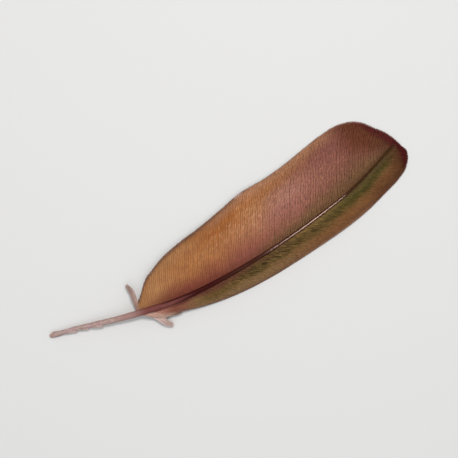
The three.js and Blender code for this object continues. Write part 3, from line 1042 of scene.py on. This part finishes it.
def down_material(name, dull, bright):
    """Downy barbs, browner where they leave the shaft."""
    shade = Shade(name)
    distance, _, tint = shade.attribute("place")
    colour = shade.mix(tint, dull, bright)
    brown = shade.sum((tint, -0.5), 1.0)
    colour = shade.paint(colour, DOWN_ROOT, shade.ramp(distance, 4.0, 0.9), brown)
    return shade.finish(colour, roughness=0.8, specular=0.2)


def sheath_material():
    shade = Shade("sheath")
    station, along, tint = shade.attribute("place")
    colour = shade.mix(tint, SHEATH_DULL, SHEATH_PALE)
    grain = shade.clouds((station, 3.0), (along, 2.0), (tint, 1.0))
    shade.bump(grain, distance=0.02 * MM, strength=0.5)
    return shade.finish(colour, roughness=0.6, specular=0.35)


# ---- stage -----------------------------------------------------------------------------

CAMERA_ROLL = math.radians(-26.69)  # the feather lies slantwise in the picture
CAMERA_OVER = (0.00225, 0.00295)  # the point that the camera looks straight down on
CAMERA_HEIGHT = 0.411
CAMERA_LENS = 100.0  # this and the sensor in millimetres, as Blender takes them
SENSOR = 36.0
NEAREST = 0.01  # where the camera's view starts
FLOOR_HALF = 1.5
FLOOR_COLOUR = (0.72, 0.72, 0.71, 1.0)
STUDIO_COLOUR = (0.95, 0.97, 1.0, 1.0)
STUDIO_STRENGTH = 0.5
LIT_POINT = (0.015, 0.0, 0.003)  # the point that the lights face

# Square lights: name, azimuth and elevation in degrees, distance, size, power, colour.
LIGHTS = [
    ("key", 57, 70, 0.6, 0.12, 1.9, (1.0, 0.97, 0.93)),
    ("fill", 240, 60, 0.9, 0.8, 1.6, (0.95, 0.97, 1.0)),
]


def aim(obj, target):
    direction = np.array(target) - np.array(obj.location)
    flat = math.hypot(direction[0], direction[1])
    obj.rotation_euler = (math.atan2(flat, -direction[2]), 0.0, math.atan2(-direction[0], direction[1]))


def make_light(name, azimuth, elevation, distance, size, power, colour):
    """A square area light that faces the feather, from a direction in degrees."""
    data = bpy.data.lights.new(name, "AREA")
    data.shape = "SQUARE"
    data.size = size
    data.energy = power
    data.color = colour
    light = bpy.data.objects.new(name, data)
    turn = math.radians(azimuth)
    rise = math.radians(elevation)
    flat = distance * math.cos(rise)
    light.location = (flat * math.cos(turn), flat * math.sin(turn), distance * math.sin(rise))
    aim(light, LIT_POINT)
    bpy.context.scene.collection.objects.link(light)


def make_camera():
    data = bpy.data.cameras.new("camera")
    data.lens = CAMERA_LENS
    data.sensor_width = SENSOR
    data.clip_start = NEAREST
    camera = bpy.data.objects.new("camera", data)
    camera.location = (*CAMERA_OVER, CAMERA_HEIGHT)
    camera.rotation_euler = (0.0, 0.0, CAMERA_ROLL)
    bpy.context.scene.collection.objects.link(camera)
    bpy.context.scene.camera = camera


def make_stage():
    mesh = bpy.data.meshes.new("floor")
    corners = [(-1, -1, 0), (1, -1, 0), (1, 1, 0), (-1, 1, 0)]
    mesh.from_pydata(np.multiply(corners, FLOOR_HALF).tolist(), [], [(0, 1, 2, 3)])
    mesh.materials.append(Shade("floor").finish(FLOOR_COLOUR, roughness=0.85, specular=0.2))
    floor = bpy.data.objects.new("floor", mesh)
    bpy.context.scene.collection.objects.link(floor)

    world = bpy.data.worlds.new("studio")
    world.use_nodes = True
    background = world.node_tree.nodes["Background"]
    background.inputs["Color"].default_value = STUDIO_COLOUR
    background.inputs["Strength"].default_value = STUDIO_STRENGTH
    bpy.context.scene.world = world
    bpy.context.scene.view_settings.view_transform = "Standard"

    for light in LIGHTS:
        make_light(*light)


make_camera()
make_stage()
make_shaft(shaft_material())
inner = inner_vane_material()
make_vane("inner_vane", INNER_BARBS, inner, SEED, side=1, count=BARBS, steps=24)
outer = outer_vane_material()
make_vane("outer_vane", OUTER_BARBS, outer, SEED + 1, side=-1, count=BARBS, steps=18)
make_vane("end_barbs", END_BARBS, outer, SEED + 7, side=1, count=11, steps=8)
dusky = down_material("dusky_down", DUSKY_DOWN, DULL_DOWN)
dull = down_material("dull_down", DULL_DOWN, SOFT_DOWN)
pale = down_material("pale_down", SOFT_DOWN, PALE_DOWN)
make_tuft("upper_tuft", UPPER_TUFT, dull, SEED + 2, fibres=170, fibre_radius=0.045)
make_tuft("lower_tuft", LOWER_TUFT, pale, SEED + 3, fibres=230, fibre_radius=0.05)
make_tuft("tuft_spur", TUFT_SPUR, pale, SEED + 4, fibres=70, fibre_radius=0.05)
make_tuft("foot_down", FOOT_DOWN, dusky, SEED + 5, fibres=50, fibre_radius=0.04)
make_scraps(sheath_material(), SEED + 6)
